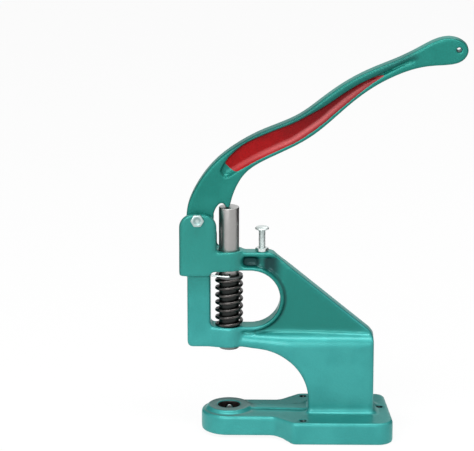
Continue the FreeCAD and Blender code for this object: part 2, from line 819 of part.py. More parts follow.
def depth_stop_screw():
    shank = rod(m6 / 2, at(stop_x, 0, stop_screw_end), at(stop_x, 0, stop_head_bottom + 0.5))
    tip = edges_where(shank, lambda p: near(p.z, stop_screw_end))
    shank = shank.makeChamfer(set_screw_chamfer, tip)
    head_top = stop_head_bottom + stop_head_height
    head = rod(stop_head_radius, at(stop_x, 0, stop_head_bottom), at(stop_x, 0, head_top))
    head = head.makeFillet(stop_head_edge, edges_where(head, lambda p: near(p.z, head_top)))
    slot_floor = head_top - stop_driver_depth
    long = stop_driver_length / 2
    narrow = stop_driver_width / 2
    top = head_top + 1
    for half_x, half_y in ((long, narrow), (narrow, long)):
        head = head.cut(block(stop_x - half_x, stop_x + half_x, -half_y, half_y, slot_floor, top))
    return shank.fuse(head).removeSplitter()


def depth_stop_locknut():
    seat = at(stop_x, 0, bar_top + seat_clearance)
    along = at(0, 0, m6_thin_nut_height)
    nut = hex_blank(m6_flats, seat, along, True)
    return nut.cut(rod(tapped_m6_radius, seat - along, seat + along * 2))


# ---------------------------------------------------------------- output

os.makedirs("parts", exist_ok=True)
save("frame_casting", frame_casting())
save("hand_lever", hand_lever())
save("pivot_bolt", pivot_bolt())
save("pivot_lock_washer", pivot_lock_washer())
save("pivot_nut", pivot_nut())
save("ram", ram())
save("return_spring", return_spring())
save("spring_washer", spring_washer())
save("cotter_pin", cotter_pin())
save("upper_die_screw", upper_die_screw())
save("lower_die_screw", lower_die_screw())
save("depth_stop_screw", depth_stop_screw())
save("depth_stop_locknut", depth_stop_locknut())
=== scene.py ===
# %% [markdown]
# # A bench eyelet press
# A cast frame stands on a flat base. A curved hand lever turns on a bolt at the top of the frame,
# and its heel pushes a round steel ram down through two bosses, against a coil spring. The packed
# model gives every solid in its true place, so this scene only dresses it: rounder castings,
# threads, a smooth spring, paint, plated steel, light and a camera.

# %% Load the frame
import math
import bmesh
import bpy
import numpy as np
from mathutils import Matrix, Vector


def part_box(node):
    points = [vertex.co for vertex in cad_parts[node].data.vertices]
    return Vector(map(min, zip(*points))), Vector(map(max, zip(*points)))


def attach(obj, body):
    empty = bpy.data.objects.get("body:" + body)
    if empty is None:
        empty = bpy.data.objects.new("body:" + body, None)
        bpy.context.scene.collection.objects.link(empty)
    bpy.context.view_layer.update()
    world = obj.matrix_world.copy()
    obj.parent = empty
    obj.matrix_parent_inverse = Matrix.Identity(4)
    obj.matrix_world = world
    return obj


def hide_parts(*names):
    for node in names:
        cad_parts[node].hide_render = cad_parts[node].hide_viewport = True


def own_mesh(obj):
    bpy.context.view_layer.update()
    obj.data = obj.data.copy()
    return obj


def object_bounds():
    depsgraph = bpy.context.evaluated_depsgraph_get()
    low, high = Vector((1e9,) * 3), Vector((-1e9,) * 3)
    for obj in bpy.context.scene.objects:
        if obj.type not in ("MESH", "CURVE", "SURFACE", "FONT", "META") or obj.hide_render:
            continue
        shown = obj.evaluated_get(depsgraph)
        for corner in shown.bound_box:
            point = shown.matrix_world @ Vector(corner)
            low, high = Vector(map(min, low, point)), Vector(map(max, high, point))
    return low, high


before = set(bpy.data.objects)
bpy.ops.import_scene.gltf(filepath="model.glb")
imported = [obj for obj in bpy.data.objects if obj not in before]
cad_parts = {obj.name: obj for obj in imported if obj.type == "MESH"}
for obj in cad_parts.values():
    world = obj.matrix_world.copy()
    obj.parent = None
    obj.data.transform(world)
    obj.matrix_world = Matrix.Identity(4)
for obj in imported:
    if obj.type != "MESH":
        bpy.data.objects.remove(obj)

MM = 0.001
cad_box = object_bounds()
print("nodes:", sorted(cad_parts))
print("size in mm:", [round(v / MM, 1) for v in (cad_box[1] - cad_box[0])])

# %% [markdown]
# ## Shared places
# The solids stand in one frame: X runs from the die to the column, Y goes through the press from
# its near side to its far side, and Z goes up from the die's seat. Several pieces share these
# places, in millimetres.

# %% Name the shared places
pivot_x, pivot_z = -26.9, 170.2
pivot_bore_radius = 3.05
bolt_radius = 2.98
stop_x = 28.4
stop_bore_radius = 3.1
ram_bore_radius = 8.83
socket_bore_radius = 9.5
clamp_screw_radius = 2.56
bench_bores = ((64.5, 33), (64.5, -33), (131.4, 5.3))
bench_bore_radius = 2.75
bench_drop = 23.8
bar_top = 139.2
slope_inwards, slope_place = (-0.6348, 0, -0.7727), -131.0
window_x, window_z = 19.0, 97.95
hang_x, hang_z = 194.3, 317.8
hang_hole_radius = 2.1
pin_height = 118.9
pin_hole_radius = 1.8
print("bench bores:", len(bench_bores))

# %% [markdown]
# ## Camera
# The press is seen from its side and a little from above, through a long lens, so that lines stay
# nearly parallel. The camera stands about 2.6 m away and looks down at almost 16 degrees.

# %% Make the camera
view_azimuth = math.radians(0.976)
view_pitch = math.radians(15.75)
view_target = Vector((6.85, 0, 161.58)) * MM
view_distance = 2579.8 * MM

camera_data = bpy.data.cameras.new("camera")
camera_data.lens = 227.9
camera_data.sensor_width = 36
camera_data.clip_start = 0.1
camera_data.clip_end = 40
camera = bpy.data.objects.new("camera", camera_data)
bpy.context.scene.collection.objects.link(camera)
backwards = Vector((
    math.sin(view_azimuth) * math.cos(view_pitch),
    -math.cos(view_azimuth) * math.cos(view_pitch),
    math.sin(view_pitch),
))
camera.location = view_target + backwards * view_distance
camera.rotation_euler = (-backwards).to_track_quat("-Z", "Y").to_euler()
bpy.context.scene.camera = camera
bpy.context.scene.view_settings.view_transform = "Standard"
print("camera at", [round(v, 3) for v in camera.location])

# %% [markdown]
# ## Finishes
# A finish is a small node tree on a Principled shader. These helpers keep the trees short: one
# makes the material, the others add a noise that reads the object's own coordinates, a bump from
# such a noise, a blend of two colours, and small sums on a place or a noise.

# %% Helpers for the finishes
def new_finish(name):
    """A material with a Principled shader, and the shader and the tree it sits in."""
    finish = bpy.data.materials.new(name)
    finish.use_nodes = True
    tree = finish.node_tree
    shader = tree.nodes["Principled BSDF"]
    return finish, tree, shader


def object_noise(tree, feature_mm, detail=3.0, stretch=(1, 1, 1)):
    """Noise whose blotches are about feature_mm wide on the object."""
    coordinates = tree.nodes.new("ShaderNodeTexCoord")
    mapping = tree.nodes.new("ShaderNodeMapping")
    mapping.inputs["Scale"].default_value = stretch
    noise = tree.nodes.new("ShaderNodeTexNoise")
    noise.inputs["Scale"].default_value = 1 / (feature_mm * MM)
    noise.inputs["Detail"].default_value = detail
    tree.links.new(coordinates.outputs["Object"], mapping.inputs["Vector"])
    tree.links.new(mapping.outputs["Vector"], noise.inputs["Vector"])
    return noise.outputs["Fac"]


def add_bump(tree, shader, heights):
    """Chain bumps, each a height socket with its depth in mm, into the shader's normal."""
    previous = None
    for height, depth_mm in heights:
        bump = tree.nodes.new("ShaderNodeBump")
        bump.inputs["Distance"].default_value = depth_mm * MM
        bump.inputs["Strength"].default_value = 1.0
        tree.links.new(height, bump.inputs["Height"])
        if previous is not None:
            tree.links.new(previous, bump.inputs["Normal"])
        previous = bump.outputs["Normal"]
    tree.links.new(previous, shader.inputs["Normal"])


def ramp(tree, value, low, high):
    """Ease a value from 0 at low to 1 at high."""
    ease = tree.nodes.new("ShaderNodeMapRange")
    ease.interpolation_type = "SMOOTHSTEP"
    ease.inputs["From Min"].default_value = low
    ease.inputs["From Max"].default_value = high
    tree.links.new(value, ease.inputs["Value"])
    return ease.outputs["Result"]


def blend_colours(tree, factor, first, second):
    """Mix two colours, each a plain colour or another node's socket."""
    mix = tree.nodes.new("ShaderNodeMix")
    mix.data_type = "RGBA"
    tree.links.new(factor, mix.inputs["Factor"])
    for socket, colour in ((mix.inputs[6], first), (mix.inputs[7], second)):
        if isinstance(colour, tuple):
            socket.default_value = (*colour, 1)
        else:
            tree.links.new(colour, socket)
    return mix.outputs[2]


def axis_of(tree, axis, space="Object"):
    """One coordinate of the object's own space, in metres, or of its normal."""
    coordinates = tree.nodes.new("ShaderNodeTexCoord")
    split = tree.nodes.new("ShaderNodeSeparateXYZ")
    tree.links.new(coordinates.outputs[space], split.inputs["Vector"])
    return split.outputs[axis]


def times_plus(tree, value, factor, other):
    """A value times a plain number, plus another value."""
    step = tree.nodes.new("ShaderNodeMath")
    step.operation = "MULTIPLY_ADD"
    step.inputs[1].default_value = factor
    tree.links.new(value, step.inputs[0])
    tree.links.new(other, step.inputs[2])
    return step.outputs[0]


def spread(tree, value, low, high):
    """Stretch a value from 0..1 to low..high."""
    stretch = tree.nodes.new("ShaderNodeMapRange")
    stretch.inputs["To Min"].default_value = low
    stretch.inputs["To Max"].default_value = high
    tree.links.new(value, stretch.inputs["Value"])
    return stretch.outputs["Result"]


print("helpers ready")

# %% [markdown]
# ## Green enamel
# The casting is sprayed with a green metallic enamel over rough iron. Up close it has soft
# orange-peel, a fine sandy grain from the mould under it, and slow changes of tone. The flakes
# make its highlights green rather than white, so the shader is part metallic under a clear coat.

# %% Make the enamel
plain_tint = (0.30, 0.86, 0.82)
plain_metal = 0.40


def green_enamel(name, pale, deep, tones):
    """Sprayed enamel in two slowly changing tones, with the piece's own tones laid over them."""
    finish, tree, shader = new_finish(name)
    patches = ramp(tree, object_noise(tree, 26, 2), 0.35, 0.68)
    colour = tones(tree, blend_colours(tree, patches, pale, deep))
    speckle = ramp(tree, object_noise(tree, 1.1, 2), 0.30, 0.72)
    dusted = tree.nodes.new("ShaderNodeMix")
    dusted.data_type = "RGBA"
    dusted.blend_type = "MULTIPLY"
    dusted.inputs["Factor"].default_value = 0.16
    dust = blend_colours(tree, speckle, (0.62, 0.70, 0.70), (1.0, 1.0, 1.0))
    tree.links.new(colour, dusted.inputs[6])
    tree.links.new(dust, dusted.inputs[7])
    tree.links.new(dusted.outputs[2], shader.inputs["Base Color"])
    tree.links.new(spread(tree, object_noise(tree, 7, 3), 0.34, 0.46), shader.inputs["Roughness"])
    shader.inputs["Metallic"].default_value = plain_metal
    shader.inputs["Specular IOR Level"].default_value = 0.30
    shader.inputs["Specular Tint"].default_value = (*plain_tint, 1)
    shader.inputs["Coat Weight"].default_value = 0.35
    shader.inputs["Coat Roughness"].default_value = 0.21
    add_bump(tree, shader, [
        (object_noise(tree, 14, 2), 0.30),
        (object_noise(tree, 2.2, 3), 0.12),
        (object_noise(tree, 0.7, 2), 0.025),
    ])
    return finish


def product(tree, *shares):
    """Multiply sockets together."""
    total = shares[0]
    for share in shares[1:]:
        times = tree.nodes.new("ShaderNodeMath")
        times.operation = "MULTIPLY"
        tree.links.new(total, times.inputs[0])
        tree.links.new(share, times.inputs[1])
        total = times.outputs[0]
    return total


def distance_from(tree, x, y, z=0.0, kept=(1, 1, 0)):
    """How far a point of the object lies from an upright line, or one along another axis, in metres."""
    coordinates = tree.nodes.new("ShaderNodeTexCoord")
    flat = tree.nodes.new("ShaderNodeVectorMath")
    flat.operation = "MULTIPLY"
    flat.inputs[1].default_value = kept
    gap = tree.nodes.new("ShaderNodeVectorMath")
    gap.operation = "DISTANCE"
    gap.inputs[1].default_value = (x * MM, y * MM, z * MM)
    tree.links.new(coordinates.outputs["Object"], flat.inputs[0])
    tree.links.new(flat.outputs["Vector"], gap.inputs[0])
    return gap.outputs["Value"]


def below_upper_faces(tree, up):
    """0 on the bar's top and on the slope behind it, and 1 from about 2 mm below them."""
    start, end = 0.8, 1.8
    coordinates = tree.nodes.new("ShaderNodeTexCoord")
    inwards = tree.nodes.new("ShaderNodeVectorMath")
    inwards.operation = "DOT_PRODUCT"
    inwards.inputs[1].default_value = slope_inwards
    tree.links.new(coordinates.outputs["Object"], inwards.inputs[0])
    under_slope = ramp(tree, inwards.outputs["Value"], (slope_place + start) * MM, (slope_place + end) * MM)
    return product(tree, under_slope, ramp(tree, up, (bar_top - start) * MM, (bar_top - end) * MM))


def window_painted_shade(tree, colour, up, along, depth):
    """Painted shade: deep green in the sunk web, on the window's rim, in the groove round it and in the
    pockets, all darker for the shade they lie in.
    """
    above = product(tree, ramp(tree, up, 62 * MM, 74 * MM), below_upper_faces(tree, up))
    behind_post = ramp(tree, along, 9 * MM, 13 * MM)
    # Painted shade in the sunk web.
    sunk = product(tree, ramp(tree, depth, 8.2 * MM, 7.0 * MM), above, behind_post)
    colour = blend_colours(tree, sunk, colour, (0.008, 0.180, 0.151))
    from_window = distance_from(tree, window_x, 0, window_z, (1, 0, 1))
    behind_window = ramp(tree, along, 22 * MM, 34 * MM)
    # Painted shade on the window's rim.
    rim = product(tree, ramp(tree, from_window, 29.2 * MM, 28.4 * MM), behind_window, above)
    colour = blend_colours(tree, rim, colour, (0.008, 0.175, 0.150))
    # Painted shade in the groove round the rim.
    groove = product(
        tree, ramp(tree, from_window, 28.2 * MM, 28.9 * MM), ramp(tree, from_window, 32.0 * MM, 29.8 * MM),
        ramp(tree, along, 14 * MM, 26 * MM), above,
    )
    colour = blend_colours(tree, groove, colour, (0.004, 0.085, 0.074))
    in_bar = ramp(tree, up, 108 * MM, 118 * MM)
    # Painted shade, darkest, in the pockets under the bar.
    pocket = product(tree, ramp(tree, depth, 6.4 * MM, 4.4 * MM), above, behind_post, in_bar)
    return blend_colours(tree, pocket, colour, (0.001, 0.034, 0.034))


def base_tones_and_shade(tree, colour, up, along, depth):
    """Painted shade at the rib's foot, on the up-facing base top, down the die socket and in the bench bores,
    and a greyer ring round the die seat.
    """
    # Painted shade: a dark line along the rib's near foot.
    rib_side = times_plus(tree, along, -0.0486, depth)
    rib_foot_shade = product(
        tree, ramp(tree, rib_side, 4.4 * MM, 5.2 * MM), ramp(tree, rib_side, 7.2 * MM, 6.3 * MM),
        ramp(tree, along, 18 * MM, 21 * MM), ramp(tree, along, 70 * MM, 67 * MM),
        ramp(tree, up, -1.7 * MM, -2.6 * MM),
    )
    colour = blend_colours(tree, rib_foot_shade, colour, (0.010, 0.100, 0.090))
    # Painted shade: faces of the base that turn upwards are darker and duller, for the dark room they
    # reflect.
    faces_up = ramp(tree, axis_of(tree, "Z", "Normal"), 0.80, 0.95)
    shaded_base_top = product(tree, faces_up, ramp(tree, up, 20 * MM, 5 * MM))
    colour = blend_colours(tree, shaded_base_top, colour, (0.026, 0.232, 0.216))
    from_seat = distance_from(tree, 0, 0)
    grey_seat_ring = product(tree, shaded_base_top, ramp(tree, from_seat, 27 * MM, 17 * MM))
    colour = blend_colours(tree, grey_seat_ring, colour, (0.078, 0.150, 0.143))
    # Painted shade: the die socket's bare bore is painted nearly black for the shade down it.
    below_seat = ramp(tree, up, 1.0 * MM, -1.5 * MM)
    socket = product(tree, below_seat, ramp(tree, from_seat, 10.2 * MM, 9.7 * MM))
    colour = blend_colours(tree, socket, colour, (0.020, 0.012, 0.012))
    # Painted shade inside the bench bores.
    below_base = ramp(tree, up, -3.2 * MM, -4.6 * MM)
    for x, y in bench_bores:
        bore_shade = product(tree, below_base, ramp(tree, distance_from(tree, x, y), 3.5 * MM, 2.9 * MM))
        colour = blend_colours(tree, bore_shade, colour, (0.006, 0.020, 0.020))
    return colour


def frame_tones_and_shade(tree, colour):
    """Darker and greener high on the frame as painted shade, then the window's painted shade and the base's
    tones and painted shade.
    """
    up, along = axis_of(tree, "Z"), axis_of(tree, "X")
    depth = tree.nodes.new("ShaderNodeMath")
    depth.operation = "ABSOLUTE"
    tree.links.new(axis_of(tree, "Y"), depth.inputs[0])
    # Painted shade: the enamel is darker and greener higher on the frame, for the dimmer light up there.
    colour = blend_colours(tree, ramp(tree, up, 60 * MM, 150 * MM), colour, (0.019, 0.226, 0.194))
    colour = window_painted_shade(tree, colour, up, along, depth.outputs[0])
    return base_tones_and_shade(tree, colour, up, along, depth.outputs[0])


frame_enamel = green_enamel("frame_enamel", (0.040, 0.322, 0.306), (0.031, 0.282, 0.268), frame_tones_and_shade)
print("made", frame_enamel.name)

# %% [markdown]
# ## Lever enamel and the red panel
# The lever has the same enamel in a deeper tone. Its sunk panel is brushed in red, and the brush
# stops short of the panel's ends. The mesh carries four numbers on every point: the distance to
# the edge of the red, below zero inside, so that the shader can cut a crisp edge through it, the
# painted shade under the panel's upper wall and over the rim above it, the painted shade in the
# hanging hole, and a painted pink highlight along the foot of the lower wall.

# %% Make the lever's enamel
def carried(tree, name):
    """A number that the mesh carries on its points."""
    number = tree.nodes.new("ShaderNodeAttribute")
    number.attribute_name = name
    return number.outputs["Fac"]


def red_panel(tree, colour):
    """Painted shade under the panel's upper wall and in the hanging hole, a painted pink highlight over the
    foot of the lower wall, and red inside its edge.
    """
    # Painted shade under the upper wall, over the rim above it, and in the hanging hole.
    wall = carried(tree, "wall_shade")
    colour = blend_colours(tree, wall, colour, (0.008, 0.098, 0.084))
    colour = blend_colours(tree, carried(tree, "hole_shade"), colour, (0.008, 0.075, 0.066))
    wobbly_edge = times_plus(tree, object_noise(tree, 3, 2), 0.7, carried(tree, "red_edge"))
    inside = ramp(tree, wobbly_edge, 0.60, 0.20)
    along = axis_of(tree, "X")
    streaks = ramp(tree, object_noise(tree, 9, 3), 0.3, 0.7)
    red = blend_colours(tree, streaks, (0.36, 0.003, 0.005), (0.27, 0.003, 0.004))
    red = blend_colours(tree, ramp(tree, along, 5 * MM, 95 * MM), red, (0.150, 0.003, 0.005))
    # Painted highlight: a pale pink band along the foot of the lower wall.
    highlight_band = product(tree, carried(tree, "lower_wall_highlight"), ramp(tree, along, -40 * MM, 80 * MM))
    red = blend_colours(tree, highlight_band, red, (0.60, 0.150, 0.155))
    # Painted shade also darkens the red under the upper wall.
    red = blend_colours(tree, wall, red, (0.035, 0.004, 0.006))
    shader = tree.nodes["Principled BSDF"]
    for name, plain, brushed in (("Coat Weight", 0.15, 0.10), ("Metallic", plain_metal, 0.0)):
        tree.links.new(spread(tree, inside, plain, brushed), shader.inputs[name])
    tint = blend_colours(tree, inside, plain_tint, (0.90, 0.25, 0.25))
    tree.links.new(tint, shader.inputs["Specular Tint"])
    return blend_colours(tree, inside, colour, red)


lever_enamel = green_enamel("lever_enamel", (0.014, 0.190, 0.157), (0.010, 0.168, 0.137), red_panel)
print("made", lever_enamel.name)

# %% [markdown]
# ## Bare and plated metals
# The ram is ground steel with fine turning marks round it. The screws, the nuts and the washers
# are zinc plated: pale, a little blue, and duller than chrome. The spring is blackened wire, and
# the ram's clamping screw is black too.

# %% Make the metals
def metal(name, colour, mottle, roughness, grain_mm, grain_depth, stretch=(1, 1, 1), wear_and_painted_light=None):
    """A metal in two mottled tones, with a fine grain and, where given, painted light laid over it."""
    finish, tree, shader = new_finish(name)
    shade = blend_colours(tree, ramp(tree, object_noise(tree, 4, 3), 0.3, 0.7), colour, mottle)
    # Where given, painted light is laid over the tones.
    if wear_and_painted_light is not None:
        shade = wear_and_painted_light(tree, shade)
    tree.links.new(shade, shader.inputs["Base Color"])
    shader.inputs["Metallic"].default_value = 1.0
    shader.inputs["Roughness"].default_value = roughness
    add_bump(tree, shader, [(object_noise(tree, grain_mm, 2, stretch), grain_depth)])
    return finish


def ram_painted_light(tree, colour):
    """Painted light on the ram: its stretch in the guides and the spring is painted dark as shade, its tip
    greenish grey as a reflection of the green base, and its top face paler as a highlight.
    """
    up = axis_of(tree, "Z")
    # Painted highlight: the top face is paler.
    colour = blend_colours(tree, ramp(tree, up, 178.2 * MM, 178.45 * MM), colour, (0.42, 0.42, 0.41))
    # Painted reflection: the tip is greenish grey from the green base; painted shade: dark in the guides and
    # the spring.
    shaded_middle = blend_colours(tree, ramp(tree, up, 58 * MM, 64 * MM), (0.17, 0.20, 0.19), (0.030, 0.033, 0.032))
    return blend_colours(tree, ramp(tree, up, 118 * MM, 123 * MM), shaded_middle, colour)


ground_steel = metal(
    "ground_steel", (0.37, 0.365, 0.355), (0.35, 0.345, 0.335), 0.35, 6, 0.0015, (0.2, 0.2, 7), ram_painted_light,
)
zinc_plate = metal("zinc_plate", (0.56, 0.60, 0.60), (0.46, 0.50, 0.50), 0.42, 1.2, 0.02)
bright_zinc = metal("bright_zinc", (0.70, 0.75, 0.74), (0.60, 0.66, 0.65), 0.40, 1.0, 0.02)


def dish_painted_shade(tree, colour):
    """Painted shade: a darker grey ring round the foot of the dish in the bolt's face, where the dish's wall
    shades it.
    """
    from_axis = distance_from(tree, pivot_x, 0, pivot_z, (1, 0, 1))
    # Painted shade: a darker ring at the foot of the dish.
    ring = product(tree, ramp(tree, from_axis, 1.1 * MM, 1.9 * MM), ramp(tree, from_axis, 3.7 * MM, 2.9 * MM))
    return blend_colours(tree, ring, colour, (0.27, 0.39, 0.38))


bolt_zinc = metal("bolt_zinc", (0.50, 0.62, 0.60), (0.40, 0.51, 0.50), 0.36, 1.0, 0.02, wear_and_painted_light=dish_painted_shade)
dull_zinc = metal("dull_zinc", (0.16, 0.17, 0.17), (0.10, 0.11, 0.11), 0.42, 1.0, 0.02)
black_oxide = metal("black_oxide", (0.045, 0.045, 0.047), (0.03, 0.03, 0.031), 0.42, 0.8, 0.02)


def black_wire():
    """Blackened wire, a little browner where the black has rubbed off."""
    finish, tree, shader = new_finish("black_spring_wire")
    wear_and_painted_light = ramp(tree, object_noise(tree, 2.5, 3), 0.35, 0.7)
    shade = blend_colours(tree, wear_and_painted_light, (0.050, 0.048, 0.047), (0.085, 0.080, 0.076))
    tree.links.new(shade, shader.inputs["Base Color"])
    shader.inputs["Metallic"].default_value = 1.0
    shader.inputs["Roughness"].default_value = 0.27
    add_bump(tree, shader, [(object_noise(tree, 0.9, 3), 0.03)])
    return finish


spring_black = black_wire()
made = (ground_steel, zinc_plate, bright_zinc, bolt_zinc, dull_zinc, black_oxide, spring_black)
print("metals:", [finish.name for finish in made])

# %% Helpers for pieces
def place(name, mesh, body, finish, nodes, sharp):
    """Finish a piece; edges sharper than the angle, in degrees, stay sharp."""
    piece = bpy.data.objects.new(name, mesh)
    bpy.context.scene.collection.objects.link(piece)
    mesh.materials.clear()
    mesh.materials.append(finish)
    mesh.shade_smooth()
    mesh.set_sharp_from_angle(angle=math.radians(sharp))
    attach(piece, body)
    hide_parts(*nodes)
    print(name, "points", len(mesh.vertices), "faces", len(mesh.polygons))
    return piece


def mesh_from(shape, name):
    """Turn a bmesh into a mesh with its faces outwards, and free it."""
    bmesh.ops.recalc_face_normals(shape, faces=shape.faces)
    mesh = bpy.data.meshes.new(name)
    shape.to_mesh(mesh)
    shape.free()
    return mesh


def solid_copy(node):
    """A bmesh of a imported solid, its loose triangles merged into one skin."""
    shape = bmesh.new()
    shape.from_mesh(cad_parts[node].data)
    bmesh.ops.remove_doubles(shape, verts=shape.verts, dist=1e-6)
    return shape


def bare_mesh(node):
    """That skin as a mesh."""
    shape = solid_copy(node)
    mesh = bpy.data.meshes.new(node + "_bare")
    shape.to_mesh(mesh)
    shape.free()
    return mesh


def after_modifiers(mesh, name, stack):
    """Run a list of modifiers on a mesh once, and give the mesh that comes out."""
    holder = bpy.data.objects.new(name + "_blank", mesh)
    bpy.context.scene.collection.objects.link(holder)
    for kind, settings in stack:
        step = holder.modifiers.new(kind, kind)
        for key, value in settings.items():
            setattr(step, key, value)
    graph = bpy.context.evaluated_depsgraph_get()
    result = bpy.data.meshes.new_from_object(holder.evaluated_get(graph))
    result.name = name
    bpy.data.objects.remove(holder)
    return result


print("piece helpers ready")

# %% [markdown]
# ## The casting
# Iron poured in a sand mould has no sharp inside corners, and the enamel softens them more. The
# solid model has crisp ones. Growing the skin by 1 mm, closing it with a voxel remesh and
# shrinking it again fills each inside corner with a small round, and a few smoothing passes take
# the voxel steps away. The holes would lose their shape too, so they are drilled again afterwards.

# %% Soften the casting
casting_voxel = 1.0 * MM
casting_round = 1.0 * MM


def casting_skin():
    """The frame's solid with its inside corners rounded."""
    voxels = ("REMESH", {"mode": "VOXEL", "voxel_size": casting_voxel})
    grow = ("DISPLACE", {"strength": casting_round, "mid_level": 0.0})
    shrink = ("DISPLACE", {"strength": -casting_round, "mid_level": 0.0})
    ease = ("SMOOTH", {"factor": 0.5, "iterations": 1})
    settle = ("SMOOTH", {"factor": 0.5, "iterations": 3})
    stack = [voxels, ease, grow, voxels, shrink, voxels, settle]
    return after_modifiers(bare_mesh("frame_casting"), "casting_skin", stack)


def drill(shape_mesh, holes):
    """Cut round holes, each two ends and a radius in mm, out of a mesh."""
    bits = bmesh.new()
    for start, end, radius in holes:
        start = Vector(start) * MM
        end = Vector(end) * MM
        along = end - start
        turn = along.to_track_quat("Z", "Y").to_matrix().to_4x4()
        spot = Matrix.Translation((start + end) / 2) @ turn
        bmesh.ops.create_cone(
            bits, cap_ends=True, segments=48, radius1=radius * MM, radius2=radius * MM,
            depth=along.length, matrix=spot,
        )
    bit = bpy.data.objects.new("drill_bits", mesh_from(bits, "drill_bits"))
    bpy.context.scene.collection.objects.link(bit)
    result = after_modifiers(shape_mesh, shape_mesh.name + "_drilled", [
        ("BOOLEAN", {"operation": "DIFFERENCE", "solver": "EXACT", "object": bit}),
    ])
    bpy.data.objects.remove(bit)
    return result


casting_holes = [
    ((0, 0, -15), (0, 0, 4), socket_bore_radius),
    ((0, 0, 50), (0, 0, 150), ram_bore_radius),
    ((0, 8, -7), (0, 26, -7), clamp_screw_radius),
    *(((x, y, -26), (x, y, 2), bench_bore_radius) for x, y in bench_bores),
    ((stop_x, 0, 112), (stop_x, 0, 142), stop_bore_radius),
]
casting_mesh = drill(casting_skin(), casting_holes)
place("enamelled_casting", casting_mesh, "frame", frame_enamel, ["frame_casting"], 50)

# %% [markdown]
# ## The lever
# The lever is a casting too. Its sunk panel has a wide round at the foot of its lower wall and a
# tighter one under its upper wall, and it runs out shallower towards the grip. The points of the
# panel's floor are lifted along those rounds, by how far each lies inside the panel's rim, and
# then the whole skin is eased. The two outlines below are in millimetres above the bench.

# %% Measure how far a point lies inside an outline
panel_rim = [
    (-7.3, 235.4), (-4.2, 241.9), (0.6, 248.0), (12.0, 258.2), (27.5, 266.2), (42.0, 272.2),
    (56.0, 278.0), (67.0, 284.0), (79.0, 290.8), (95.8, 302.4), (112.7, 313.0),
    (124.0, 318.5), (136.0, 324.8), (147.0, 330.5), (153.0, 333.1), (156.5, 333.0),
    (157.0, 330.4), (153.6, 327.4), (146.0, 324.8), (136.0, 320.3), (127.0, 315.4), (118.4, 309.6),
    (104.3, 298.2), (90.3, 286.2), (79.0, 276.2), (57.4, 261.0), (48.2, 256.4), (30.0, 247.6),
    (20.5, 242.6), (11.3, 237.2), (4.0, 232.6), (-0.6, 229.6), (-4.6, 229.8),
]
red_rim = [
    (-2.8, 242.4), (1.2, 248.4), (12.0, 257.8), (27.5, 265.8), (42.0, 271.8),
    (56.0, 277.6), (67.0, 283.6), (79.0, 290.4), (95.8, 302.0), (112.7, 312.6),
    (122.0, 317.0), (131.0, 319.6), (127.0, 315.4), (118.4, 309.4), (104.3, 298.0), (90.3, 286.0),
    (79.0, 276.0), (57.4, 260.8), (48.2, 256.2), (30.0, 247.4), (20.5, 242.4),
    (11.3, 237.2), (5.6, 235.0), (1.4, 236.8), (-1.6, 239.8),
]


def smooth_loop(points, steps=6):
    """A closed curve through the points, as many short runs."""
    corners = np.array(points, float)
    before, after, far = np.roll(corners, 1, 0), np.roll(corners, -1, 0), np.roll(corners, -2, 0)
    runs = []
    for share in np.linspace(0, 1, steps, endpoint=False):
        a = -0.5 * share + share ** 2 - 0.5 * share ** 3
        b = 1 - 2.5 * share ** 2 + 1.5 * share ** 3
        c = 0.5 * share + 2 * share ** 2 - 1.5 * share ** 3
        d = -0.5 * share ** 2 + 0.5 * share ** 3
        runs.append(a * before + b * corners + c * after + d * far)
    return np.stack(runs, 1).reshape(-1, 2)


def inside_distance(points, loop):
    """Signed distance of each point to a loop, below zero inside, and the nearest wall's slope."""
    start, end = loop, np.roll(loop, -1, 0)
    run = end - start
    best = np.full(len(points), 1e9)
    facing = np.zeros(len(points))
    crossings = np.zeros(len(points), int)
    for a, b, r in zip(start, end, run):
        share = np.clip(((points - a) @ r) / max(r @ r, 1e-12), 0, 1)
        gap = points - (a + share[:, None] * r)
        far = np.hypot(gap[:, 0], gap[:, 1])
        nearer = far < best
        facing = np.where(nearer, gap[:, 1] / np.maximum(far, 1e-9), facing)
        best = np.minimum(best, far)
        spans = (a[1] > points[:, 1]) != (b[1] > points[:, 1])
        reach = a[0] + (points[:, 1] - a[1]) * r[0] / (r[1] if r[1] else 1e-12)
        crossings += spans & (points[:, 0] < reach)
    return np.where(crossings % 2 == 1, -best, best), facing


def side_points(mesh):
    """Every point's X and its height above the bench, in mm, and its whole place."""
    flat = np.empty(len(mesh.vertices) * 3, np.float32)
    mesh.vertices.foreach_get("co", flat)
    spots = flat.reshape(-1, 3).astype(float) / MM
    return np.stack([spots[:, 0], spots[:, 2] + bench_drop], 1), spots


print("panel runs:", len(smooth_loop(panel_rim)), "red runs:", len(smooth_loop(red_rim)))

# %% Shape the lever
lever_voxel = 0.75 * MM
panel_floor = 2.5
panel_floor_at_grip = 4.9
rim_half = 6.9
lower_round = 6.5
upper_round = 1.8


